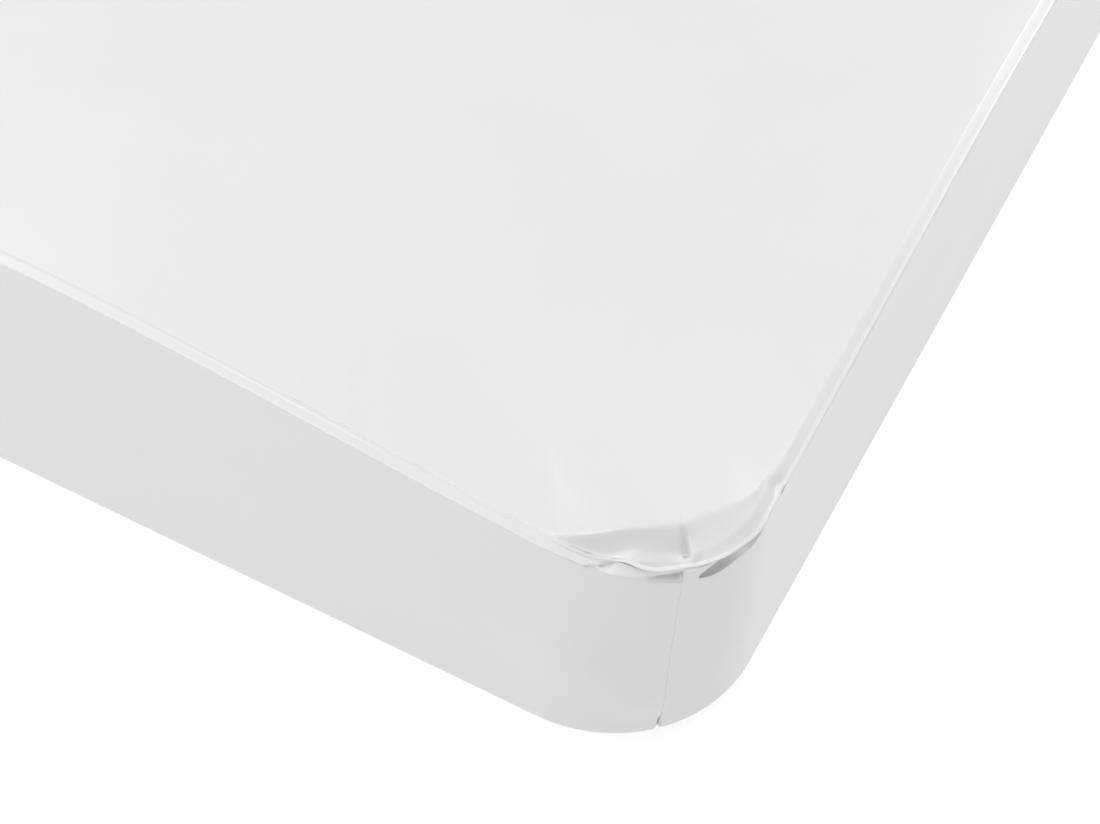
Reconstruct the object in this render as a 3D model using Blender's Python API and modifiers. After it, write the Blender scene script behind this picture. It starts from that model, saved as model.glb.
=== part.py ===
"""A fitted cover on a plain single mattress.

The cover is a top panel and four boxing panels. Each boxing panel runs from the middle of one rounded
corner to the middle of the next, and turns under the mattress. The cover pulls the mattress down at its
corners, so the seam round the top is lowest there, and is a little slack round each corner.

Metres, +Z up. The origin is on the floor under the middle, with the length along Y.
"""

import math
from typing import NamedTuple

import bmesh
import bpy
from mathutils import Vector

# Driving sizes of the covered mattress
WIDTH = 0.965
LENGTH = 1.905
TOP_HEIGHT = 0.235
EDGE_HEIGHT = 0.220

# How far the cover pulls each corner down, over what reach across and along, and how flat the start is
CORNER_DROP, DROP_POWER = 0.040, 1.5
REACH_ACROSS, REACH_ALONG = 0.305, 0.330
CORNER_EASE = 0.47

# Rounding: the corners in plan, at the seam and at the floor, and the edges in section
SEAM_CORNER_RADIUS = 0.084
FLOOR_CORNER_RADIUS = 0.097
SHOULDER_RADIUS = 0.008
TURN_RADIUS = 0.010
EDGE_ANGLE = math.radians(45)

# Where the seam lies on the rounded edge of each side, from level with the wall (0) to level with the
# top (90 degrees): right, head, left, foot. It shifts from one to the next just before each corner seam.
SEAM_DEGREES = (22, 62, 30, 74)
SHIFT_RUN, SHIFT_HALF_LENGTH = -0.027, 0.018

# Crown of the top, and how the mattress lifts it just inside each corner seam
CROWN_POWER = 2.5
CORNER_LIFT, LIFT_REACH, LIFT_EASE = 0.0065, 0.070, 0.018

# The cloth, the gaps round it, and the hem turned under the mattress
CLOTH = 0.0015
GAP = 0.0005
SEAM_GAP = 0.0006
HEM_GAP = 0.0003
TURNED_UNDER = 0.055

# The mattress: its edges are rounder than the cover's, and its corners leave the cover some slack
MATTRESS_EDGE_RADIUS = 0.014
MATTRESS_CORNER_EDGE_RADIUS = 0.023
MATTRESS_TURN_RADIUS = 0.012
CORNER_WALL_SLACK = 0.004
CORNER_TOP_SLACK = 0.001
MATTRESS_LIFT_SHARE = 0.8
SLACK_REACH = 0.12
FOOT_MARGIN = 0.012
FOOT_SLOPE = 0.025

# Steps of the meshes
CORNER_STEPS = 14
LONG_STEPS = 20
SHORT_STEPS = 10
MATTRESS_SHOULDER_STEPS = 3
TURN_STEPS = 3
ROW_SHIFT_POWER = 12
TOP_SHOULDER_SHARES = (1.0, 0.5, 0.1)
BOXING_SHOULDER_SHARES = (0.9, 0.5, 0.0)
WALL_SHARES = (0.9, 0.76, 0.55, 0.3)
TOP_SHARES = (0.98, 0.955, 0.92, 0.84, 0.7, 0.5, 0.25, 0.0)

# Corners, anticlockwise from the foot end's right: x side, y side, start of its arc, which way its
# folds lie, and how deep they are
CORNERS = (
    (1, -1, math.radians(-90), 1, 1.0),
    (1, 1, math.radians(0), -1, 0.7),
    (-1, 1, math.radians(90), 1, 0.85),
    (-1, -1, math.radians(180), -1, 0.75),
)

# Folds in the boxing near a corner seam: distance along from that seam, share of the wall's height,
# half length, half height, and how far the cloth stands out (or, below zero, falls in)
WALL_FOLDS = (
    (0.030, 0.98, 0.024, 0.045, -0.0040),
    (-0.014, 0.97, 0.014, 0.050, -0.0040),
    (-0.034, 0.96, 0.012, 0.050, 0.0015),
    (-0.056, 0.98, 0.010, 0.060, -0.0035),
    (-0.060, 0.62, 0.035, 0.10, -0.0010),
    (-0.050, 0.34, 0.040, 0.12, 0.0030),
    (-0.012, 0.16, 0.020, 0.10, 0.0035),
    (-0.200, 0.30, 0.090, 0.22, 0.0020),
    (0.130, 0.45, 0.070, 0.25, 0.0015),
    (0.340, 0.30, 0.120, 0.25, 0.0020),
)

# Folds in the top near a corner: distance along from the corner seam, distance in from the edge,
# half length, half depth, and rise or fall
TOP_FOLDS = (
    (-0.002, 0.012, 0.010, 0.014, -0.0030),
    (0.030, 0.012, 0.018, 0.014, 0.0010),
    (-0.022, 0.010, 0.014, 0.012, 0.0015),
    (-0.048, 0.010, 0.014, 0.010, -0.0015),
)

COVER_WHITE = (0.86, 0.86, 0.86, 1.0)
FOAM_WHITE = (0.80, 0.79, 0.76, 1.0)


class Station(NamedTuple):
    """A place on the outline: on a corner's arc, or a share of the straight from it to the next."""

    corner: int
    share: float
    angle: float


class Section(NamedTuple):
    """How far inside the cover's skin a section lies, and the radii of its edges.

    It is snug along the middle of the top and on the floor. The wall and the shoulder may lie deeper,
    and the lift at the corners may be a share of the cover's.
    """

    snug: float
    wall_inset: float
    shoulder_drop: float
    shoulder: float
    turn: float
    lift: float
    folded: bool


SKIN = Section(0.0, 0.0, 0.0, SHOULDER_RADIUS, TURN_RADIUS, 1.0, True)


def arc_centre(corner, radius):
    x_side, y_side = CORNERS[corner % 4][:2]
    return Vector((x_side * (WIDTH / 2 - radius), y_side * (LENGTH / 2 - radius), 0.0))


def outward(station):
    return Vector((math.cos(station.angle), math.sin(station.angle), 0.0))


def plan_point(station, radius, offset, height):
    """A point offset outwards from the outline whose corners have this radius."""
    start = arc_centre(station.corner, radius)
    centre = start.lerp(arc_centre(station.corner + 1, radius), station.share)
    return centre + (radius + offset) * outward(station) + Vector((0.0, 0.0, height))


def straight_length(corner):
    return (LENGTH if corner % 2 == 0 else WIDTH) - 2 * SEAM_CORNER_RADIUS


def from_corner_seam(station):
    """The nearest corner, and the signed distance along the outline from the seam at its middle."""
    half_arc = SEAM_CORNER_RADIUS * math.pi / 4
    if station.share == 0.0:
        middle = CORNERS[station.corner][2] + math.pi / 4
        return station.corner, SEAM_CORNER_RADIUS * (station.angle - middle)
    length = straight_length(station.corner)
    if station.share <= 0.5:
        return station.corner, half_arc + station.share * length
    return (station.corner + 1) % 4, -half_arc - (1 - station.share) * length


def from_corner(place):
    """Distances across and along from the middle of the nearest corner's arc."""
    inside = SEAM_CORNER_RADIUS * (1 - math.cos(math.pi / 4))
    return WIDTH / 2 - inside - abs(place.x), LENGTH / 2 - inside - abs(place.y)


def corner_drop(place):
    across, along = from_corner(place)
    away = math.hypot(across / REACH_ACROSS, along / REACH_ALONG)
    eased = math.hypot(away, CORNER_EASE) - CORNER_EASE
    return CORNER_DROP * max(0.0, 1 - eased) ** DROP_POWER


def edge_height(station):
    """Height of the middle of the rounded upper edge."""
    return EDGE_HEIGHT - corner_drop(plan_point(station, SEAM_CORNER_RADIUS, 0.0, 0.0))


def seam_angle(station):
    corner, run = from_corner_seam(station)
    before, after = SEAM_DEGREES[corner - 1], SEAM_DEGREES[corner]
    shift = CORNERS[corner][3] * SHIFT_RUN
    share = (1 + math.tanh((run - shift) / SHIFT_HALF_LENGTH)) / 2
    return math.radians(before + (after - before) * share)


def bump(distance, half):
    return math.exp(-((distance / half) ** 2))


def wall_fold(station, share):
    """How far the boxing stands out of its plain wall, from the folds of the nearest corner."""
    corner, run = from_corner_seam(station)
    turned, depth = CORNERS[corner][3:]
    return depth * sum(
        out * bump(turned * run - along, half_length) * bump(share - up, half_height)
        for along, up, half_length, half_height, out in WALL_FOLDS
    )


def top_fold(station, inside):
    corner, run = from_corner_seam(station)
    turned, depth = CORNERS[corner][3:]
    return depth * sum(
        out * bump(turned * run - along, half_length) * bump(inside - inwards, half_depth)
        for along, inwards, half_length, half_depth, out in TOP_FOLDS
    )


def corner_radius_at(height, edge):
    share = min(1.0, max(0.0, height / edge))
    return FLOOR_CORNER_RADIUS + (SEAM_CORNER_RADIUS - FLOOR_CORNER_RADIUS) * share


def top_level(station, section):
    """Height at which the shoulder meets the top."""
    rounding = SHOULDER_RADIUS * (1 - math.sin(EDGE_ANGLE))
    return edge_height(station) + rounding - section.shoulder_drop


def section_point(station, offset, height):
    radius = corner_radius_at(height, edge_height(station))
    return plan_point(station, radius, offset, height)


def shoulder_point(station, section, angle):
    """On the rounded upper edge, from level with the wall (0) to level with the top (90 degrees)."""
    offset = -section.wall_inset - section.shoulder * (1 - math.cos(angle))
    height = top_level(station, section) - section.shoulder * (1 - math.sin(angle))
    if section.folded:
        share = 1 + section.shoulder * math.sin(angle) / wall_height(station, section)
        offset += wall_fold(station, share) * max(0.0, 1 - 2 * angle / seam_angle(station))
    return section_point(station, offset, height)


def turn_point(station, section, angle):
    """On the rounded lower edge, from level with the wall (0) to the underside (90 degrees)."""
    offset = -section.wall_inset - section.turn * (1 - math.cos(angle))
    height = section.snug + section.turn * (1 - math.sin(angle))
    return section_point(station, offset, height)


def wall_height(station, section):
    """Height of the wall between the rounded edges above and below it."""
    return top_level(station, section) - section.shoulder - section.snug - section.turn


def wall_point(station, section, share):
    offset = -section.wall_inset + (wall_fold(station, share) if section.folded else 0.0)
    height = section.snug + section.turn + wall_height(station, section) * share
    return section_point(station, offset, height)


def spine_point(point):
    """The nearest point of the line along the middle of the top."""
    half = (LENGTH - WIDTH) / 2
    return Vector((0.0, min(half, max(-half, point.y)), 0.0))


def top_point(station, section, share):
    """On the crowned top: share is 1 at the shoulder and 0 on the middle line.

    Away from its shoulder, every section has its rows at the same places as the skin.
    """
    edge = shoulder_point(station, section, math.pi / 2)
    rim = Vector((edge.x, edge.y, 0.0))
    skin_rim = shoulder_point(station, SKIN, math.pi / 2) * Vector((1.0, 1.0, 0.0))
    row_rim = skin_rim.lerp(rim, share**ROW_SHIFT_POWER)
    place = spine_point(edge).lerp(row_rim, share)
    inside = (row_rim - place).length
    level = edge.z + corner_drop(rim)
    crown = (TOP_HEIGHT - section.snug - level) * (1 - share**CROWN_POWER)
    lift = CORNER_LIFT * bump(math.hypot(*from_corner(place)), LIFT_REACH)
    eased_lift = lift * (1 - bump(inside, LIFT_EASE))
    height = level + crown - corner_drop(place) + eased_lift * section.lift
    if section.folded:
        height += top_fold(station, inside)
    return Vector((place.x, place.y, height))


def corner_stations(corner, first, last):
    """Stations on a corner's arc, from step first to step last."""
    start = CORNERS[corner % 4][2]
    return [
        Station(corner % 4, 0.0, start + math.pi / 2 * step / CORNER_STEPS)
        for step in range(first, last + 1)
    ]


def straight_stations(corner):
    steps = LONG_STEPS if corner % 2 == 0 else SHORT_STEPS
    angle = CORNERS[corner][2] + math.pi / 2
    return [Station(corner, step / steps, angle) for step in range(1, steps)]


def whole_outline():
    stations = []
    for corner in range(4):
        stations += corner_stations(corner, 0, CORNER_STEPS)
        stations += straight_stations(corner)
    return stations


def panel_outline(corner):
    """From the seam at the middle of one corner to the next, with the least gap at the hem."""
    half = CORNER_STEPS // 2
    inset = HEM_GAP / 2 / (FLOOR_CORNER_RADIUS - TURNED_UNDER)
    first = corner_stations(corner, half, CORNER_STEPS)
    last = corner_stations(corner + 1, 0, half)
    first[0] = first[0]._replace(angle=first[0].angle + inset)
    last[-1] = last[-1]._replace(angle=last[-1].angle - inset)
    return first + straight_stations(corner) + last


def angles(first, last, steps):
    return [first + (last - first) * step / steps for step in range(steps + 1)]


def lofted(name, rows, wraps, floor_cap=False):
    """An object whose faces join each row of points to the next, and its ends if it wraps round."""
    mesh = bmesh.new()
    grid = [[mesh.verts.new(point) for point in row] for row in rows]
    columns = len(rows[0])
    for upper, lower in zip(grid, grid[1:]):
        for i in range(columns if wraps else columns - 1):
            j = (i + 1) % columns
            mesh.faces.new((upper[i], lower[i], lower[j], upper[j]))
    if floor_cap:
        mesh.faces.new(reversed(grid[-1]))
    bmesh.ops.remove_doubles(mesh, verts=mesh.verts, dist=1e-5)
    data = bpy.data.meshes.new(name)
    mesh.to_mesh(data)
    mesh.free()
    data.shade_smooth()
    data.set_sharp_from_angle(angle=math.radians(50))
    return bpy.data.objects.new(name, data)


def thicken(cloth):
    """Gives a sheet the thickness of the cloth, inside its outer face."""
    solidify = cloth.modifiers.new("thickness", "SOLIDIFY")
    solidify.thickness = CLOTH
    solidify.offset = -1
    solidify.use_even_offset = True


def top_panel():
    stations = whole_outline()
    rows = [[top_point(s, SKIN, share) for s in stations] for share in reversed(TOP_SHARES)]
    for share in (*TOP_SHOULDER_SHARES, 0.0):
        row = []
        for station in stations:
            edge = seam_angle(station) + SEAM_GAP / 2 / SHOULDER_RADIUS
            row.append(shoulder_point(station, SKIN, edge + (math.pi / 2 - edge) * share))
        rows.append(row)
    panel = lofted("top_panel", rows, wraps=True)
    thicken(panel)
    return panel


def boxing_panel(name, corner):
    stations = panel_outline(corner)
    rows = []
    for share in (1.0, *BOXING_SHOULDER_SHARES):
        row = []
        for station in stations:
            edge = seam_angle(station) - SEAM_GAP / 2 / SHOULDER_RADIUS
            row.append(shoulder_point(station, SKIN, edge * share))
        rows.append(row)
    rows += [[wall_point(s, SKIN, share) for s in stations] for share in WALL_SHARES]
    rows += [
        [turn_point(s, SKIN, angle) for s in stations]
        for angle in angles(0.0, math.pi / 2, TURN_STEPS)
    ]
    rows.append([section_point(s, -TURNED_UNDER, 0.0) for s in stations])
    panel = lofted(name, rows, wraps=False)
    thicken(panel)
    return panel


def mattress_section(station):
    """The mattress inside the cover, with more room round it at its corners."""
    slack = bump(from_corner_seam(station)[1], SLACK_REACH)
    inside = CLOTH + GAP
    rounder = (MATTRESS_CORNER_EDGE_RADIUS - MATTRESS_EDGE_RADIUS) * slack
    return Section(
        snug=inside,
        wall_inset=inside + CORNER_WALL_SLACK * slack,
        shoulder_drop=inside + CORNER_TOP_SLACK * slack,
        shoulder=MATTRESS_EDGE_RADIUS + rounder,
        turn=MATTRESS_TURN_RADIUS,
        lift=MATTRESS_LIFT_SHARE,
        folded=False,
    )


def mattress():
    """The mattress is pressed flat on the floor inside the ring of cloth that is turned under it."""
    stations = whole_outline()
    pairs = [(s, mattress_section(s)) for s in stations]
    rows = [[top_point(s, c, share) for s, c in pairs] for share in reversed(TOP_SHARES)]
    rows += [
        [shoulder_point(s, c, angle) for s, c in pairs]
        for angle in angles(math.pi / 2, 0.0, MATTRESS_SHOULDER_STEPS)
    ]
    rows += [
        [turn_point(s, c, angle) for s, c in pairs]
        for angle in angles(0.0, math.pi / 2, TURN_STEPS)
    ]
    foot_edge = TURNED_UNDER + FOOT_MARGIN
    rows.append([section_point(s, -foot_edge, c.snug) for s, c in pairs])
    rows.append([foot_point(s, foot_edge + FOOT_SLOPE) for s in stations])
    return lofted("mattress", rows, wraps=True, floor_cap=True)


def foot_point(station, inside):
    """On the flat foot, whose corners are rounded by what the floor corner radius leaves."""
    radius = FLOOR_CORNER_RADIUS
    if inside < radius:
        return plan_point(station, radius, -inside, 0.0)
    centre = plan_point(station, radius, -radius, 0.0)
    middle = spine_point(centre)
    shift = (inside - radius) / (centre - middle).length
    return centre.lerp(middle, shift)


def material(name, color, roughness):
    made = bpy.data.materials.new(name)
    made.use_nodes = True
    shader = made.node_tree.nodes["Principled BSDF"]
    shader.inputs["Base Color"].default_value = color
    shader.inputs["Roughness"].default_value = roughness
    shader.inputs["Metallic"].default_value = 0.0
    return made


def main():
    for obj in list(bpy.data.objects):
        bpy.data.objects.remove(obj)
    collection = bpy.data.collections.new("mattress_cover")
    bpy.context.scene.collection.children.link(collection)

    parts = {top_panel(): material("top_cloth", COVER_WHITE, 0.45)}
    for name, corner in (
        ("side_panel_right", 0),
        ("side_panel_head", 1),
        ("side_panel_left", 2),
        ("side_panel_foot", 3),
    ):
        parts[boxing_panel(name, corner)] = material(name + "_cloth", COVER_WHITE, 0.45)
    parts[mattress()] = material("mattress_foam", FOAM_WHITE, 0.9)
    for part, look in parts.items():
        part.data.materials.append(look)
        collection.objects.link(part)


main()
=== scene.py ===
"""The looks of a smooth white fitted cover on its mattress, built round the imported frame.

The cover is a top panel and four boxing panels, lofted as fine grids over the same outline as the CAD
solids that they stand for, with the seam's ridge, the pockets under it and the creases at each corner.

Metres, +Z up, with the length along Y and the foot end at -Y. A side runs anticlockwise from one corner
seam to the next: 0 right, 1 head, 2 left, 3 foot. A run is the distance along the outline from a corner
seam, below zero before it. The corner at the foot end's right has the deepest folds.
"""

import math
from typing import NamedTuple

import bmesh
import bpy
import numpy as np
from mathutils import Matrix, Vector


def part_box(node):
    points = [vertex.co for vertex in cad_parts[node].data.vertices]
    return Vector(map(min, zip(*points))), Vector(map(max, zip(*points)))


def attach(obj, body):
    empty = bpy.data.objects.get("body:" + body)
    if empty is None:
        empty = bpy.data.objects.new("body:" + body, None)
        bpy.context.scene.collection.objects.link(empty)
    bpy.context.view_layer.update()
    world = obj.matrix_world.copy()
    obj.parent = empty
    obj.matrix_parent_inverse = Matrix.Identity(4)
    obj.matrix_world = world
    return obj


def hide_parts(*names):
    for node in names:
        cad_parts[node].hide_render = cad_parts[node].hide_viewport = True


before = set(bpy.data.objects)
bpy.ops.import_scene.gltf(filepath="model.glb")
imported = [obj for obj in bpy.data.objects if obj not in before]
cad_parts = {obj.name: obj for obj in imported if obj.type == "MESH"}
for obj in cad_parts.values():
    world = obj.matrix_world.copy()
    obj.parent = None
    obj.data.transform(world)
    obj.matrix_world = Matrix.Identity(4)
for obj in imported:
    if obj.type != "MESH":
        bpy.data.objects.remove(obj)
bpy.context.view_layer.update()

# The cover's outer face, from the mattress that lies this far inside it
COVER_DEPTH = 0.002
mattress_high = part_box("mattress")[1]
HALF_WIDTH = mattress_high.x + COVER_DEPTH
HALF_LENGTH = mattress_high.y + COVER_DEPTH
TOP_HEIGHT = mattress_high.z + COVER_DEPTH

# The edge round the top, and how far the cover pulls each corner down
EDGE_HEIGHT = TOP_HEIGHT - 0.015
CORNER_DROP, DROP_POWER = 0.040, 1.5
REACH_ACROSS, REACH_ALONG = 0.305, 0.330
CORNER_EASE = 0.47

# Rounding: the corners in plan, at the seam and at the floor, and the edges in section
SEAM_CORNER_RADIUS = 0.084
FLOOR_CORNER_RADIUS = 0.097
SHOULDER_RADIUS = 0.008
TURN_RADIUS = 0.010
EDGE_ANGLE = math.radians(45)
HALF_ARC = SEAM_CORNER_RADIUS * math.pi / 4

# Each side's seam, as an angle on the rounded edge, how much that edge is a chamfer (1 is round, 2 is
# straight), and how far the top dips towards it: right, head, left, foot. All three shift from one side
# to the next just before a corner seam.
SEAM_ANGLES = np.radians((16, 52, 30, 72))
CHAMFERS = np.array((1.9, 1.7, 1.7, 1.4))
DIPS = np.array((0.0030, 0.0020, 0.0020, 0.0060))
DIP_REACH = 0.060
SHIFT_RUN, SHIFT_HALF_LENGTH = -0.031, 0.014
# How far the seam's angle strays from that near a corner: run from the corner seam, degrees
SEAM_SWINGS = (
    (-0.080, 0.0),
    (-0.060, 3.0),
    (-0.050, 5.5),
    (-0.042, 11.5),
    (-0.035, 19.0),
    (-0.030, 21.0),
    (-0.024, 17.0),
    (-0.015, 13.0),
    (0.000, 14.0),
    (0.010, 6.0),
    (0.020, -2.0),
    (0.030, -6.0),
    (0.040, -9.0),
    (0.049, -12.0),
    (0.055, -4.0),
    (0.062, 3.0),
    (0.070, 1.0),
    (0.100, 3.0),
    (0.140, 6.0),
)
SEAM_LIMIT = math.radians(74)
# How much more the top dips at a corner: the run and the half length there, and the depth
CORNER_DIP_RUN, CORNER_DIP_LENGTH, CORNER_DIP = 0.010, 0.038, 0.0018

# Crown of the top, how far in its slope at a corner lifts the rest, and how soon folds and creases start
CROWN_POWER = 2.5
SLOPE_FADE = 0.075
SLOPE_POWER, SLOPE_SOFTNESS = 1.55, 0.07
CREASE_FADE, TOP_CREASE_FADE, FOLD_FADE = 0.0020, 0.0075, 0.004

# The middle line of the top: how many steps half of it has, and how near its points are joined
MIDDLE_STEPS, MIDDLE_DISTANCE = 24, 0.00002

# The cloth, its seams and its hem
CLOTH = 0.0009
SEAM_GAP = 0.00003
HEM = 0.055
BEAD_WIDTH = 0.0022
TUCK_REACH = 0.0009
CREASE_EASE, FAINT_END = 0.0004, 0.35
# The upright seam's foot at the deepest corner
NOTCH_HEIGHT, NOTCH_EASE, NOTCH_DEPTH, NOTCH_HALF_WIDTH = 0.020, 0.006, 0.004, 0.0011

# Corners, anticlockwise from the foot end's right: x side, y side, start of its arc, which way its
# folds lie, and how deep they are
CORNERS = (
    (1, -1, math.radians(-90), 1, 1.0),
    (1, 1, math.radians(0), -1, 0.7),
    (-1, 1, math.radians(90), 1, 0.85),
    (-1, -1, math.radians(180), -1, 0.75),
)
SIDE_NAMES = ("right", "head", "left", "foot")

# Spacing of the grids' columns: distance from a corner seam, and spacing there
FINE_SPACING = ((0.0, 0.0007), (0.072, 0.0007), (0.15, 0.003), (0.26, 0.003), (0.42, 0.018))
PLAIN_SPACING = ((0.0, 0.0025), (0.08, 0.0025), (0.22, 0.018))
FINE_CORNER = 0

# The slope from the flat top down to the ridge at a corner: run from the corner seam, width in from
# the shoulder, and rise
SLOPES = (
    (-0.100, 0.002, 0.0),
    (-0.080, 0.002, 0.0004),
    (-0.069, 0.003, 0.0018),
    (-0.0585, 0.006, 0.0050),
    (-0.045, 0.009, 0.0084),
    (-0.0315, 0.012, 0.0105),
    (-0.013, 0.013, 0.0112),
    (0.0055, 0.013, 0.0102),
    (0.0195, 0.0135, 0.0089),
    (0.0335, 0.0115, 0.0075),
    (0.050, 0.008, 0.0052),
    (0.065, 0.005, 0.0033),
    (0.085, 0.004, 0.0018),
    (0.110, 0.003, 0.0007),
    (0.140, 0.002, 0.0),
)

# How deep the boxing's edge is tucked under the ridge: run from the corner seam, depth
TUCKS = ((0.003, 0.0), (0.020, 0.0007), (0.055, 0.0007), (0.066, 0.0))

# The seam's ridge: run from the corner seam, height, and how far it is rolled out over the boxing
RIDGES = (
    (-0.450, 0.0004, 0.0),
    (-0.300, 0.0004, 0.0),
    (-0.170, 0.0007, 0.0),
    (-0.080, 0.0007, 0.0),
    (-0.055, 0.0006, 0.0),
    (-0.040, 0.0007, 0.0),
    (-0.025, 0.0010, 0.2),
    (-0.010, 0.0013, 0.4),
    (0.003, 0.0010, 0.5),
    (0.020, 0.0017, 1.0),
    (0.034, 0.0016, 1.0),
    (0.046, 0.0019, 1.0),
    (0.056, 0.0019, 0.8),
    (0.064, 0.0011, 0.5),
    (0.080, 0.0011, 0.4),
    (0.130, 0.0011, 0.4),
    (0.450, 0.0011, 0.4),
)


class Pocket(NamedTuple):
    """A pocket in the boxing just under the ridge, by its place along from the corner seam."""

    start: float
    end: float
    lean: float
    end_lean: float
    soft: float
    end_soft: float
    lip: tuple
    depths: tuple
    section: tuple


# Share of the way down to the lip, share of the depth there, and share of the sinking behind the lip
OPEN_SECTION = (
    (0.0, 0.0, 0.0),
    (0.08, 0.55, 0.0),
    (0.20, 1.0, 0.0),
    (0.66, 1.0, 1.0),
    (0.82, 0.35, 1.0),
    (0.93, 0.10, 0.35),
    (1.0, 0.02, 0.0),
    (1.1, 0.0, 0.0),
)
SAGGING_SECTION = (
    (0.0, 0.0, 0.0),
    (0.30, 0.30, 0.0),
    (0.60, 0.75, 0.30),
    (0.78, 1.0, 0.90),
    (0.88, 0.50, 1.0),
    (0.96, 0.12, 0.45),
    (1.0, 0.02, 0.0),
    (1.1, 0.0, 0.0),
)
# Each lip is its run and how far down it is, each depth its run, how far the cloth falls in, and how far
# it sinks behind the lip; lean is how much the start and the end move along for each step down
POCKETS = (
    Pocket(
        start=-0.0310, end=0.0052, lean=0.0, end_lean=-0.40, soft=0.016, end_soft=0.0028,
        lip=((-0.0200, 0.0100), (-0.0110, 0.0110), (0.0, 0.0130)),
        depths=((-0.0240, 0.0010, 0.0), (-0.0120, 0.0037, 0.0012), (-0.0020, 0.0048, 0.0017)),
        section=SAGGING_SECTION,
    ),
    Pocket(
        start=0.0240, end=0.0580, lean=-1.45, end_lean=0.0, soft=0.0050, end_soft=0.0020,
        lip=((0.0070, 0.0114), (0.0130, 0.0144), (0.0230, 0.0144), (0.0365, 0.0122), (0.0505, 0.0114),
             (0.0550, 0.0080), (0.0580, 0.0025)),
        depths=((0.0130, 0.0125, 0.0060), (0.0240, 0.0115, 0.0055), (0.0330, 0.0060, 0.0022),
                (0.0420, 0.0060, 0.0024), (0.0550, 0.0040, 0.0014)),
        section=OPEN_SECTION,
    ),
    Pocket(
        start=0.0590, end=0.0665, lean=0.0, end_lean=0.0, soft=0.0010, end_soft=0.0030,
        lip=((0.0590, 0.0030), (0.0665, 0.0015)),
        depths=((0.0590, 0.0030, 0.0008), (0.0665, 0.0010, 0.0)),
        section=OPEN_SECTION,
    ),
)

# Creases in the boxing and in the top, each from its faint end to its deep one: its run from the corner
# seam and how far down or in it is at those ends, its half widths there, how far in it falls, and how
# much narrower it is on the side that it turns left to
BOXING_CREASES = (
    (-0.0390, 0.0010, -0.0475, 0.0092, 0.0010, 0.0020, -0.0048, 1.0),
    (-0.0520, 0.0220, -0.0510, 0.0080, 0.0050, 0.0035, -0.0012, 1.0),
)
TOP_CREASES = (
    (0.0066, 0.0085, 0.0060, 0.0000, 0.0060, 0.0066, -0.0064, 0.07),
    (-0.0600, 0.0020, -0.0480, 0.0035, 0.0020, 0.0020, -0.0008, 1.0),
)

# Folds in the boxing near a corner seam: distance along from that seam, distance down from the top
# seam, half length, half height, and how far the cloth stands out (or, below zero, falls in)
WALL_FOLDS = (
    (-0.031, 0.010, 0.013, 0.008, 0.0010),
    (0.006, 0.008, 0.004, 0.009, 0.0010),
    (-0.062, 0.020, 0.010, 0.022, -0.0014),
    (-0.060, 0.060, 0.030, 0.020, -0.0012),
    (-0.050, 0.110, 0.034, 0.024, 0.0030),
    (-0.012, 0.135, 0.018, 0.018, 0.0030),
    (-0.024, 0.080, 0.008, 0.030, -0.0010),
    (-0.130, 0.080, 0.040, 0.040, 0.0015),
    (-0.200, 0.110, 0.090, 0.035, 0.0020),
    (0.130, 0.090, 0.070, 0.040, 0.0015),
    (0.340, 0.110, 0.120, 0.040, 0.0020),
)

# Folds in the top near a corner: distance along from the corner seam, distance in from the edge,
# half length, half depth, and rise or fall
TOP_FOLDS = (
    (0.0088, -0.001, 0.003, 0.005, 0.0013),
    (-0.027, 0.000, 0.011, 0.005, 0.0018),
    (-0.046, 0.006, 0.012, 0.006, -0.0008),
    (0.080, -0.004, 0.005, 0.004, -0.0015),
)

# Faint gathers in the top along the foot side, from its corner: distance along, half length, rise
GATHERS = (
    (-0.160, 0.0035, 0.00025),
    (-0.190, 0.0050, -0.00030),
    (-0.205, 0.0030, 0.00030),
    (-0.222, 0.0040, -0.00025),
    (-0.236, 0.0035, 0.00030),
)
GATHER_REACH = 0.060

# Rows of the top's grid: over the ridge, over the shoulder, in from it, and on to the middle line
RIDGE_STEPS = 10
SHOULDER_SHARES = (0.06, 0.14, 0.24, 0.36, 0.5, 0.65, 0.82)
TOP_INSIDES = (
    *(0.0, 0.0008, 0.0017, 0.0027, 0.0038, 0.0049, 0.006, 0.0071, 0.0082, 0.0093, 0.0104, 0.0115, 0.0126),
    *(0.0138, 0.015, 0.0163, 0.0178, 0.0195, 0.0215, 0.024, 0.027, 0.031, 0.037, 0.044, 0.053, 0.065),
)
TOP_SHARES = (0.05, 0.11, 0.18, 0.26, 0.35, 0.46, 0.59, 0.74, 0.88, 1.0)

# Rows of the boxing's grid: down from the seam, down the wall, round its foot, and under the mattress
BOXING_DOWNS = (
    *(0.0, 0.0003, 0.0006, 0.001, 0.0014, 0.0018, 0.0023, 0.0028, 0.0034, 0.004, 0.0046, 0.0052, 0.0058),
    *(0.0064, 0.007, 0.0076, 0.0082, 0.0088, 0.0094, 0.01, 0.0105, 0.011, 0.0115, 0.012, 0.0125, 0.013),
    *(0.0135, 0.014, 0.0145, 0.0152, 0.0162, 0.0175),
)
WALL_STEPS = 22
TURN_STEPS = 8
HEM_STEPS = 3

# The mattress inside the cover: its slack and rounding at a corner, and how far along and in they reach
MATTRESS_EDGE_RADIUS = 0.012
CORNER_SLACK, CORNER_ROUNDING, SLACK_REACH, SLACK_INSIDE = 0.006, 0.012, 0.12, 0.15
HEM_MARGIN, FOOT_SLOPE = 0.012, 0.025
FOOT_SHARES = (0.0, 0.35, 0.7, 1.0)
MATTRESS_STEPS = (150, 76)
MATTRESS_EDGE_STEPS = 7
MATTRESS_INSIDES = (0.065, 0.040, 0.024)

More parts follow.
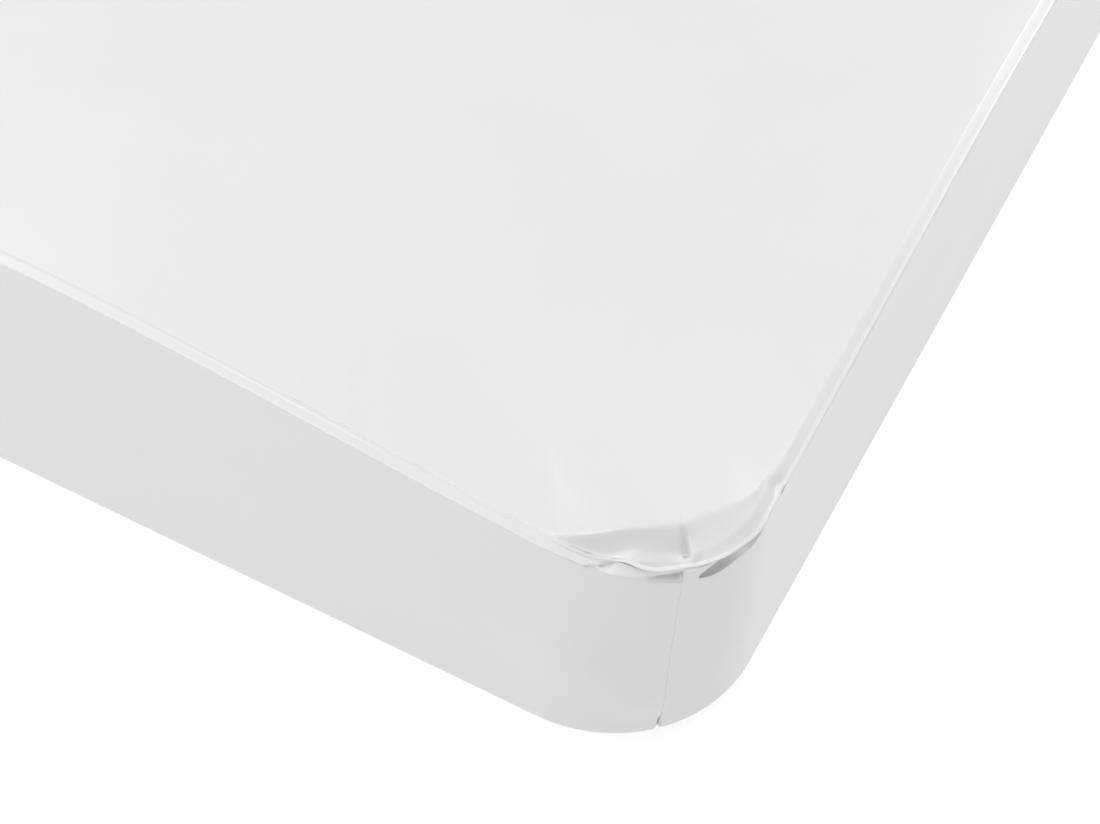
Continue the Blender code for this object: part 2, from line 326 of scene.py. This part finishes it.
# The floor, so large that none of its edges shows from the sides, and the strength of floor and sky
FLOOR_HALF, FLOOR_SUNK, FLOOR_GREY, FLOOR_GLOW = 60.0, 0.0005, 0.30, 0.755
SKY_HORIZON, SKY_ZENITH = 0.0, 0.80
# Soft boxes: name, place, what it is aimed at, size and power
SOFT_BOXES = (
    ("back_box", (1.6, 2.0, 2.2), (0.3, -0.1, 0.2), 1.4, 45.0),
    ("high_box", (-0.5, -2.6, 3.4), (0.0, -0.95, 0.2), 1.0, 31.0),
    ("left_box", (-1.6, -0.8, 2.4), (-0.4, -0.6, 0.2), 1.2, 11.0),
    ("near_box", (-1.2, -1.6, 0.8), (-0.5, -0.95, 0.1), 0.5, 4.6),
    ("right_box", (2.2, -0.6, 2.2), (0.45, -0.5, 0.2), 1.0, 3.0),
    ("corner_box", (2.4, -2.9, 0.9), (0.45, -0.9, 0.15), 0.8, 4.5),
)

# The camera: azimuth, elevation and roll in degrees, and its place from the corner's foot
CAMERA_ANGLES = (26.53, 49.93, 2.30)
CAMERA_OFFSET = (0.1695, -0.5298, 0.9944)
SENSOR_WIDTH, LENS = 36.0, 62.2

WHITE = (1.0, 1.0, 1.0, 1.0)


class Columns(NamedTuple):
    """The columns of a grid, one for each place along the outline."""

    starts: np.ndarray
    ends: np.ndarray
    share: np.ndarray
    angle: np.ndarray
    run: np.ndarray
    turned: np.ndarray
    depth: np.ndarray
    seam: np.ndarray
    chamfer: np.ndarray
    dip: np.ndarray

    @property
    def turned_run(self):
        """The run from the corner seam, counted the way that the corner's folds lie."""
        return self.turned * self.run


def side_length(side):
    half = HALF_LENGTH if side % 2 == 0 else HALF_WIDTH
    return 2 * (half - SEAM_CORNER_RADIUS + HALF_ARC)


def side_places(side):
    """Distances from a side's first corner seam to its last, closest together at the corners."""
    length = side_length(side)
    first = FINE_SPACING if side == FINE_CORNER else PLAIN_SPACING
    last = FINE_SPACING if (side + 1) % 4 == FINE_CORNER else PLAIN_SPACING
    places = [0.0]
    while places[-1] < length:
        place = places[-1]
        step = min(
            np.interp(place, *zip(*first)),
            np.interp(length - place, *zip(*last)),
        )
        places.append(place + step)
    return np.array(places) * length / places[-1]


def side_columns(side, places):
    length = side_length(side)
    straight = length - 2 * HALF_ARC
    after = (side + 1) % 4
    near_start = places <= length / 2
    run = np.where(near_start, places, places - length)
    corner = np.where(near_start, side, after)
    table = np.array(CORNERS)
    turned, depth = table[corner, 3], table[corner, 4]
    first_angle = CORNERS[side][2] + math.pi / 4
    angle = first_angle + np.minimum(places, HALF_ARC) / SEAM_CORNER_RADIUS
    angle = angle + np.maximum(places - length + HALF_ARC, 0.0) / SEAM_CORNER_RADIUS
    before = (corner - 1) % 4
    shift = (1 + np.tanh((run - turned * SHIFT_RUN) / SHIFT_HALF_LENGTH)) / 2
    swing = depth * np.radians(eased(turned * run, SEAM_SWINGS))
    seam = SEAM_ANGLES[before] + (SEAM_ANGLES[corner] - SEAM_ANGLES[before]) * shift
    corner_dip = CORNER_DIP * depth * bump(turned * run - CORNER_DIP_RUN, CORNER_DIP_LENGTH)
    return Columns(
        starts=np.tile(table[side, :2], (len(places), 1)),
        ends=np.tile(table[after, :2], (len(places), 1)),
        share=np.clip((places - HALF_ARC) / straight, 0.0, 1.0),
        angle=angle,
        run=run,
        turned=turned,
        depth=depth,
        seam=np.minimum(seam + swing, SEAM_LIMIT),
        chamfer=CHAMFERS[before] + (CHAMFERS[corner] - CHAMFERS[before]) * shift,
        dip=DIPS[before] + (DIPS[corner] - DIPS[before]) * shift + corner_dip,
    )


def all_round(places_of):
    """The columns of all four sides, joined at their corner seams, from the places along each side."""
    sides = [side_columns(side, places_of(side)[:-1]) for side in range(4)]
    return Columns(*(np.concatenate(field) for field in zip(*sides)))


def plan(columns, radius, offset):
    """Points offset outwards from the outline whose corners have this radius."""
    centres = []
    for axis, half in enumerate((HALF_WIDTH, HALF_LENGTH)):
        start = columns.starts[:, axis] * (half - radius)
        end = columns.ends[:, axis] * (half - radius)
        centres.append(start + (end - start) * columns.share)
    reach = radius + offset
    x = centres[0] + reach * np.cos(columns.angle)
    y = centres[1] + reach * np.sin(columns.angle)
    return x, y


def from_corner(x, y):
    """Distances across and along from the middle of the nearest corner's arc."""
    inside = SEAM_CORNER_RADIUS * (1 - math.cos(math.pi / 4))
    return HALF_WIDTH - inside - np.abs(x), HALF_LENGTH - inside - np.abs(y)


def corner_drop(x, y):
    across, along = from_corner(x, y)
    away = np.hypot(across / REACH_ACROSS, along / REACH_ALONG)
    eased = np.hypot(away, CORNER_EASE) - CORNER_EASE
    return CORNER_DROP * np.maximum(0.0, 1 - eased) ** DROP_POWER


def edge_height(columns):
    """Height of the middle of the rounded upper edge."""
    return EDGE_HEIGHT - corner_drop(*plan(columns, SEAM_CORNER_RADIUS, 0.0))


def top_level(columns):
    return edge_height(columns) + SHOULDER_RADIUS * (1 - math.sin(EDGE_ANGLE))


def bump(distance, half):
    return np.exp(-((distance / half) ** 2))


def ramp(share):
    """A smooth step from 0 to 1."""
    held = np.clip(share, 0.0, 1.0)
    return held * held * (3 - 2 * held)


def eased(place, table):
    """A smooth curve through a table of places and values, level beyond its ends."""
    places, values = (np.array(column) for column in zip(*table))
    slopes = np.gradient(values, places)
    slopes[[0, -1]] = 0.0
    held = np.clip(place, places[0], places[-1])
    first = np.clip(np.searchsorted(places, held, side="right") - 1, 0, len(places) - 2)
    gap = places[first + 1] - places[first]
    share = (held - places[first]) / gap
    from_first = (1 + 2 * share) * values[first] + share * gap * slopes[first]
    from_last = (3 - 2 * share) * values[first + 1] + (share - 1) * gap * slopes[first + 1]
    return (1 - share) ** 2 * from_first + share**2 * from_last


def placed(columns, offset, height):
    """Points of one row: offset outwards from the outline, at this height."""
    share = np.clip(height / edge_height(columns), 0.0, 1.0)
    radius = FLOOR_CORNER_RADIUS + (SEAM_CORNER_RADIUS - FLOOR_CORNER_RADIUS) * share
    x, y = plan(columns, radius, offset)
    return np.stack((x, y, height + 0.0 * x), axis=1)


def shoulder_row(columns, angle, out):
    """On the rounded or chamfered upper edge, standing out from it."""
    inwards = SHOULDER_RADIUS * (1 - np.cos(angle) ** columns.chamfer)
    rise = (SHOULDER_RADIUS - columns.dip) * np.sin(angle) ** columns.chamfer
    height = top_level(columns) - SHOULDER_RADIUS + rise + out * np.sin(angle)
    return placed(columns, out * np.cos(angle) - inwards, height)


def ridge_form(columns):
    turned = columns.turned_run
    height = eased(turned, [(run, height) for run, height, rolled in RIDGES])
    return height, eased(turned, [(run, rolled) for run, height, rolled in RIDGES])


def ridge(columns, along):
    """The seam's turned allowance stands up as a thin ridge, on both panels or rolled out over the boxing."""
    height, rolled = ridge_form(columns)
    share = along / BEAD_WIDTH
    round_form = math.sqrt(max(1 - (2 * share - 1) ** 2, 0.0))
    return height * (rolled * round_form + (1 - rolled) * (1 - ramp(share)))


def edge_rise(columns, down):
    """The boxing's share of the ridge, where that isn't rolled out over it."""
    height, rolled = ridge_form(columns)
    return height * (1 - rolled) * (1 - ramp(down / BEAD_WIDTH))


def creased(creases, along, across):
    """How far creases raise or lower the cloth at this place along from a corner seam and down or in."""
    raised = 0.0
    for start, start_across, end, end_across, half, end_half, out, narrowing in creases:
        ahead, aside = end - start, end_across - start_across
        length = math.hypot(ahead, aside)
        reached = ((along - start) * ahead + (across - start_across) * aside) / length**2
        share = np.clip(reached, 0.0, 1.0)
        left = (ahead * (across - start_across) - aside * (along - start)) / length
        away = np.hypot(along - start - share * ahead, across - start_across - share * aside)
        width = (half + (end_half - half) * share) * np.where(left > 0, narrowing, 1.0)
        deep = FAINT_END + (1 - FAINT_END) * share
        raised = raised + out * deep * np.exp((CREASE_EASE - np.hypot(away, CREASE_EASE)) / width)
    return raised


def top_fold(columns, inside):
    turned = columns.turned_run
    folds = sum(
        out * bump(turned - along, half_length) * bump(inside - inwards, half_depth)
        for along, inwards, half_length, half_depth, out in TOP_FOLDS
    )
    free = ramp((inside - ridge_place(columns)) / TOP_CREASE_FADE)
    return columns.depth * (folds + free * creased(TOP_CREASES, turned, inside))


def inside_at(columns, angle):
    """How far in a place on the shoulder is, below zero until its end at the top."""
    return -SHOULDER_RADIUS * np.cos(np.minimum(angle, math.pi / 2)) ** columns.chamfer


def ridge_place(columns):
    return inside_at(columns, columns.seam + BEAD_WIDTH / SHOULDER_RADIUS)


def slope_left(share):
    """How much of a corner's slope is still above this share of its width: level at its foot."""
    left = np.logaddexp(0.0, (1 - np.maximum(share, 0.0) ** SLOPE_POWER) / SLOPE_SOFTNESS)
    return left / np.logaddexp(0.0, 1 / SLOPE_SOFTNESS)


def corner_slope(columns, inside):
    """How far the flat top stands above the plain crown near a corner, with the slope from the ridge."""
    turned = columns.turned_run
    width = eased(turned, [(run, width) for run, width, rise in SLOPES])
    rise = columns.depth * eased(turned, [(run, rise) for run, width, rise in SLOPES])
    foot = ridge_place(columns)
    fade = bump(np.maximum(inside, 0.0), SLOPE_FADE)
    return rise * (fade - slope_left((inside - foot) / (width - foot)))


def gather(columns, inside):
    turned = columns.turned_run
    waves = sum(out * bump(turned - along, half) for along, half, out in GATHERS)
    return columns.depth * waves * bump(inside, GATHER_REACH)


def towards_middle(row, share):
    """A row moved level towards the middle line of the mattress, by one share for each point.

    Both halves end at the same evenly set places on that line, so that they can be joined there."""
    spine = row * (0.0, 0.0, 1.0)
    step = (HALF_LENGTH - HALF_WIDTH) / MIDDLE_STEPS
    spine[:, 1] = step * np.clip(np.round(row[:, 1] / step), -MIDDLE_STEPS, MIDDLE_STEPS)
    return row + (spine - row) * share[:, None], np.hypot(*(row - spine)[:, :2].T)


def crown_row(columns, inside=None, share=None):
    """On the plain crown of the top: this far in from the shoulder, or this share of the rest of the way."""
    rim = placed(columns, -SHOULDER_RADIUS, top_level(columns))
    across = towards_middle(rim, columns.share)[1]
    last_inside = TOP_INSIDES[-1]
    if inside is None:
        inside = last_inside + (across - last_inside) * share
    row = towards_middle(rim, inside / across)[0]
    level = rim[:, 2] + corner_drop(rim[:, 0], rim[:, 1])
    crown = (TOP_HEIGHT - level) * (1 - (1 - inside / across) ** CROWN_POWER)
    dip = columns.dip * np.exp(-inside / DIP_REACH)
    row[:, 2] = level + crown - corner_drop(row[:, 0], row[:, 1]) - dip
    return row, inside


def top_row(columns, inside=None, share=None):
    row, inside = crown_row(columns, inside, share)
    row[:, 2] += corner_slope(columns, inside) + top_fold(columns, inside) + gather(columns, inside)
    return row


def top_rows(columns):
    """From the seam over the ridge and the shoulder, and in to the middle line."""
    first = columns.seam + SEAM_GAP / 2 / SHOULDER_RADIUS
    rows = []
    steps = [BEAD_WIDTH * (1 - math.cos(math.pi * i / RIDGE_STEPS)) / 2 for i in range(RIDGE_STEPS + 1)]
    for along in steps:
        angle = first + along / SHOULDER_RADIUS
        fold = top_fold(columns, inside_at(columns, angle))
        rows.append(shoulder_row(columns, angle, ridge(columns, along) + fold))
    last = first + BEAD_WIDTH / SHOULDER_RADIUS
    for share in SHOULDER_SHARES:
        angle = last + (math.pi / 2 - last) * share
        inside = inside_at(columns, angle)
        raised = top_fold(columns, inside) + corner_slope(columns, inside)
        rows.append(shoulder_row(columns, angle, raised))
    rows += [top_row(columns, inside=inside) for inside in TOP_INSIDES]
    rows += [top_row(columns, share=share) for share in TOP_SHARES]
    return np.array(rows)


def pocket(columns, down):
    """How far the cloth falls in under the ridge, and how far it sinks, this far down from the seam."""
    turned = columns.turned_run
    inwards, sunk = 0.0, 0.0
    for made in POCKETS:
        shares, depth_shares, sink_shares = zip(*made.section)
        start = (turned - made.start - made.lean * down) / made.soft
        end = (made.end + made.end_lean * down - turned) / made.end_soft
        share = down / eased(turned, made.lip)
        within = ramp(start) * ramp(end)
        depth = eased(turned, [(run, deep) for run, deep, sink in made.depths])
        sinking = eased(turned, [(run, sink) for run, deep, sink in made.depths])
        inwards = inwards + within * depth * np.interp(share, shares, depth_shares)
        sunk = sunk + within * sinking * np.interp(share, shares, sink_shares)
    return columns.depth * inwards, columns.depth * sunk


def wall_fold(columns, down):
    turned = columns.turned_run
    folds = sum(
        out * bump(turned - along, half_length) * bump(down - below, half_height)
        for along, below, half_length, half_height, out in WALL_FOLDS
    )
    creases = ramp(down / CREASE_FADE) * creased(BOXING_CREASES, turned, down)
    return columns.depth * (folds * ramp(down / FOLD_FADE) + creases)


def boxing_out(columns, down):
    """How far the boxing stands out from its plain form, this far down from its seam."""
    tuck = eased(columns.turned_run, TUCKS) * bump(down, TUCK_REACH)
    height = SHOULDER_RADIUS * (columns.seam - 1) + top_level(columns) - down
    notch = NOTCH_DEPTH * bump(columns.run, NOTCH_HALF_WIDTH) * ramp((NOTCH_HEIGHT - height) / NOTCH_EASE)
    return wall_fold(columns, down) + edge_rise(columns, down) - tuck - notch * (columns.depth == 1.0)


def boxing_row(columns, down):
    """On the boxing, this far down from the seam: down the shoulder and then the wall."""
    first = columns.seam - SEAM_GAP / 2 / SHOULDER_RADIUS
    arc = SHOULDER_RADIUS * first
    angle = np.maximum(first - down / SHOULDER_RADIUS, 0.0)
    inwards, sunk = pocket(columns, down)
    out = boxing_out(columns, down) - inwards
    shoulder = shoulder_row(columns, angle, out)
    height = top_level(columns) - SHOULDER_RADIUS - (down - arc)
    wall = placed(columns, out, height)
    row = np.where((down < arc)[:, None], shoulder, wall)
    row[:, 2] -= sunk
    return row


def boxing_rows(columns):
    """From the seam down the shoulder and the wall, and under the mattress to the hem."""
    rows = [boxing_row(columns, down) for down in BOXING_DOWNS]
    arc = SHOULDER_RADIUS * columns.seam
    foot = arc + top_level(columns) - SHOULDER_RADIUS - TURN_RADIUS
    last = BOXING_DOWNS[-1]
    for step in range(1, WALL_STEPS + 1):
        rows.append(boxing_row(columns, last + (foot - last) * step / WALL_STEPS))
    out = boxing_out(columns, foot)
    for step in range(1, TURN_STEPS + 1):
        angle = math.pi / 2 * step / TURN_STEPS
        turn_out = out * math.cos(angle) - TURN_RADIUS * (1 - math.cos(angle))
        rows.append(placed(columns, turn_out, TURN_RADIUS * (1 - math.sin(angle)) + 0.0 * out))
    for step in range(1, HEM_STEPS + 1):
        inwards = TURN_RADIUS + (HEM - TURN_RADIUS) * step / HEM_STEPS
        rows.append(placed(columns, -inwards + 0.0 * out, 0.0 * out))
    return np.array(rows)


def grid_object(name, rows, wraps, material):
    """A smooth mesh object of a grid of points, whose faces look out on the side seen from above."""
    count, columns = rows.shape[:2]
    points = rows.reshape(-1, 3)
    first = np.arange(columns if wraps else columns - 1)
    second = (first + 1) % columns
    faces = [
        np.stack((i * columns + first, (i + 1) * columns + first, (i + 1) * columns + second,
                  i * columns + second), axis=1)
        for i in range(count - 1)
    ]
    data = bpy.data.meshes.new(name)
    data.from_pydata(points.tolist(), [], np.concatenate(faces).tolist())
    data.validate()
    data.shade_smooth()
    made = bpy.data.objects.new(name, data)
    bpy.context.scene.collection.objects.link(made)
    made.data.materials.append(material)
    return made


def join_middle(made):
    """Joins the points of a grid where its rows meet on the middle line."""
    body = bmesh.new()
    body.from_mesh(made.data)
    bmesh.ops.remove_doubles(body, verts=body.verts, dist=MIDDLE_DISTANCE)
    body.to_mesh(made.data)
    body.free()


def thicken(cloth):
    """Gives a cloth its thickness, inwards from the face that shows."""
    solidify = cloth.modifiers.new("thickness", "SOLIDIFY")
    solidify.thickness = CLOTH
    solidify.offset = -1
    solidify.use_even_offset = False


def cover_material():
    """A smooth white coated knit: a fine knit under a satin film, with soft unevenness."""
    made = bpy.data.materials.new("coated_knit")
    made.use_nodes = True
    nodes, links = made.node_tree.nodes, made.node_tree.links
    shader = nodes["Principled BSDF"]
    shader.inputs["Specular IOR Level"].default_value = 0.8
    where = nodes.new("ShaderNodeTexCoord")

    tone = nodes.new("ShaderNodeTexNoise")
    tone.inputs["Scale"].default_value = 9.0
    tone.inputs["Detail"].default_value = 3.0
    links.new(where.outputs["Object"], tone.inputs["Vector"])
    tint = nodes.new("ShaderNodeValToRGB")
    tint.color_ramp.elements[0].position = 0.3
    tint.color_ramp.elements[0].color = (0.775, 0.775, 0.775, 1.0)
    tint.color_ramp.elements[1].position = 0.7
    tint.color_ramp.elements[1].color = (0.790, 0.790, 0.790, 1.0)
    links.new(tone.outputs["Fac"], tint.inputs["Fac"])
    links.new(tint.outputs["Color"], shader.inputs["Base Color"])

    gloss = nodes.new("ShaderNodeMapRange")
    gloss.inputs["To Min"].default_value = 0.33
    gloss.inputs["To Max"].default_value = 0.43
    links.new(tone.outputs["Fac"], gloss.inputs["Value"])
    links.new(gloss.outputs["Result"], shader.inputs["Roughness"])

    knit = nodes.new("ShaderNodeTexVoronoi")
    knit.inputs["Scale"].default_value = 900.0
    links.new(where.outputs["Object"], knit.inputs["Vector"])
    fine = nodes.new("ShaderNodeBump")
    fine.inputs["Strength"].default_value = 0.12
    fine.inputs["Distance"].default_value = 0.0002
    links.new(knit.outputs["Distance"], fine.inputs["Height"])
    ripple = nodes.new("ShaderNodeTexNoise")
    ripple.inputs["Scale"].default_value = 45.0
    ripple.inputs["Detail"].default_value = 2.0
    links.new(where.outputs["Object"], ripple.inputs["Vector"])
    soft = nodes.new("ShaderNodeBump")
    soft.inputs["Strength"].default_value = 0.10
    soft.inputs["Distance"].default_value = 0.0010
    links.new(ripple.outputs["Fac"], soft.inputs["Height"])
    links.new(fine.outputs["Normal"], soft.inputs["Normal"])
    links.new(soft.outputs["Normal"], shader.inputs["Normal"])
    return made


def ticking_material():
    """A plain woven off-white ticking."""
    made = bpy.data.materials.new("plain_ticking")
    made.use_nodes = True
    nodes, links = made.node_tree.nodes, made.node_tree.links
    shader = nodes["Principled BSDF"]
    shader.inputs["Roughness"].default_value = 0.9
    where = nodes.new("ShaderNodeTexCoord")
    weave = []
    for direction in ("X", "Y"):
        threads = nodes.new("ShaderNodeTexWave")
        threads.bands_direction = direction
        threads.inputs["Scale"].default_value = 320.0
        threads.inputs["Distortion"].default_value = 0.6
        links.new(where.outputs["Object"], threads.inputs["Vector"])
        weave.append(threads)
    crossed = nodes.new("ShaderNodeMath")
    crossed.operation = "MAXIMUM"
    links.new(weave[0].outputs["Fac"], crossed.inputs[0])
    links.new(weave[1].outputs["Fac"], crossed.inputs[1])
    relief = nodes.new("ShaderNodeBump")
    relief.inputs["Strength"].default_value = 0.3
    relief.inputs["Distance"].default_value = 0.0003
    links.new(crossed.outputs["Value"], relief.inputs["Height"])
    links.new(relief.outputs["Normal"], shader.inputs["Normal"])
    tint = nodes.new("ShaderNodeValToRGB")
    tint.color_ramp.elements[0].color = (0.70, 0.685, 0.65, 1.0)
    tint.color_ramp.elements[1].color = (0.80, 0.79, 0.76, 1.0)
    links.new(crossed.outputs["Value"], tint.inputs["Fac"])
    links.new(tint.outputs["Color"], shader.inputs["Base Color"])
    return made


def mattress_rows(columns):
    """The mattress inside the cover, which leaves its corners some slack, from its top to its foot."""
    slack = bump(columns.run, SLACK_REACH)
    inset = COVER_DEPTH + CORNER_SLACK * slack
    radius = MATTRESS_EDGE_RADIUS + CORNER_ROUNDING * slack
    crown = [crown_row(columns, share=share) for share in reversed(TOP_SHARES)]
    crown += [crown_row(columns, inside=inside) for inside in MATTRESS_INSIDES]
    rows = []
    for row, inside in crown:
        row[:, 2] -= COVER_DEPTH + (inset - COVER_DEPTH) * np.exp(-((inside / SLACK_INSIDE) ** 2))
        rows.append(row)
    level = top_level(columns) - columns.dip - inset
    for angle in np.linspace(math.pi / 2, 0.0, MATTRESS_EDGE_STEPS):
        inwards = inset + radius * (1 - math.cos(angle))
        rows.append(placed(columns, -inwards, level - radius * (1 - math.sin(angle))))
    for angle in np.linspace(0.0, math.pi / 2, MATTRESS_EDGE_STEPS):
        inwards = inset + MATTRESS_EDGE_RADIUS * (1 - math.cos(angle))
        rows.append(placed(columns, -inwards, COVER_DEPTH + MATTRESS_EDGE_RADIUS * (1 - math.sin(angle))))
    level_row = columns.run * 0.0
    rows.append(placed(columns, -HEM - HEM_MARGIN, level_row + COVER_DEPTH))
    foot = placed(columns, -HEM - HEM_MARGIN - FOOT_SLOPE, level_row)
    rows += [towards_middle(foot, level_row + share)[0] for share in FOOT_SHARES]
    return np.array(rows)


def mattress(material):
    columns = all_round(lambda side: np.linspace(0, side_length(side), MATTRESS_STEPS[side % 2]))
    made = grid_object("mattress_body", mattress_rows(columns), True, material)
    join_middle(made)
    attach(made, "root")
    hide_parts("mattress")


def cover(material):
    top = grid_object("cover_top", top_rows(all_round(side_places))[::-1], True, material)
    join_middle(top)
    thicken(top)
    pieces = {"top_panel": top}
    for side, name in enumerate(SIDE_NAMES):
        columns = side_columns(side, side_places(side))
        panel = grid_object(f"cover_side_{name}", boxing_rows(columns), False, material)
        thicken(panel)
        pieces[f"side_panel_{name}"] = panel
    return pieces


def declare(pieces):
    for node, piece in pieces.items():
        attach(piece, "root")
        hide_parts(node)


def stage():
    floor_data = bpy.data.meshes.new("floor")
    signs = ((-1, -1), (1, -1), (1, 1), (-1, 1))
    corners = [(x * FLOOR_HALF, y * FLOOR_HALF, 0.0) for x, y in signs]
    floor_data.from_pydata(corners, [], [(0, 1, 2, 3)])
    floor = bpy.data.objects.new("floor", floor_data)
    bpy.context.scene.collection.objects.link(floor)
    paint = bpy.data.materials.new("white_floor")
    paint.use_nodes = True
    shader = paint.node_tree.nodes["Principled BSDF"]
    shader.inputs["Base Color"].default_value = (FLOOR_GREY, FLOOR_GREY, FLOOR_GREY, 1.0)
    shader.inputs["Roughness"].default_value = 1.0
    shader.inputs["Specular IOR Level"].default_value = 0.0
    shader.inputs["Emission Color"].default_value = WHITE
    shader.inputs["Emission Strength"].default_value = FLOOR_GLOW
    floor_data.materials.append(paint)
    floor.location.z = -FLOOR_SUNK


def lights():
    world = bpy.data.worlds.new("studio")
    bpy.context.scene.world = world
    world.use_nodes = True
    nodes, links = world.node_tree.nodes, world.node_tree.links
    where = nodes.new("ShaderNodeTexCoord")
    parts = nodes.new("ShaderNodeSeparateXYZ")
    links.new(where.outputs["Generated"], parts.inputs["Vector"])
    fade = nodes.new("ShaderNodeMapRange")
    fade.inputs["To Min"].default_value = SKY_HORIZON
    fade.inputs["To Max"].default_value = SKY_ZENITH
    links.new(parts.outputs["Z"], fade.inputs["Value"])
    links.new(fade.outputs["Result"], nodes["Background"].inputs["Strength"])
    nodes["Background"].inputs["Color"].default_value = WHITE
    for box in SOFT_BOXES:
        add_area(*box)


def add_area(name, place, target, size, power):
    data = bpy.data.lights.new(name, "AREA")
    data.size = size
    data.energy = power
    light = bpy.data.objects.new(name, data)
    light.location = place
    aim = Vector(target) - Vector(place)
    light.rotation_mode = "QUATERNION"
    light.rotation_quaternion = aim.to_track_quat("-Z", "Y")
    bpy.context.scene.collection.objects.link(light)


def camera():
    """Above the foot end's right corner, looking down along the mattress."""
    azimuth, elevation, roll = (math.radians(angle) for angle in CAMERA_ANGLES)
    forward = Vector((
        -math.sin(azimuth) * math.cos(elevation),
        math.cos(azimuth) * math.cos(elevation),
        -math.sin(elevation),
    ))
    level = Vector((math.cos(azimuth), math.sin(azimuth), 0.0))
    upright = level.cross(forward)
    right = math.cos(roll) * level + math.sin(roll) * upright
    up = -math.sin(roll) * level + math.cos(roll) * upright
    data = bpy.data.cameras.new("camera")
    data.sensor_width = SENSOR_WIDTH
    data.lens = LENS
    made = bpy.data.objects.new("camera", data)
    place = Vector((HALF_WIDTH, -HALF_LENGTH, 0.0)) + Vector(CAMERA_OFFSET)
    turned = Matrix((right, up, -forward)).transposed().to_4x4()
    made.matrix_world = Matrix.Translation(place) @ turned
    bpy.context.scene.collection.objects.link(made)
    bpy.context.scene.camera = made


def main():
    bpy.context.scene.view_settings.view_transform = "Standard"
    declare(cover(cover_material()))
    mattress(ticking_material())
    stage()
    lights()
    camera()


main()
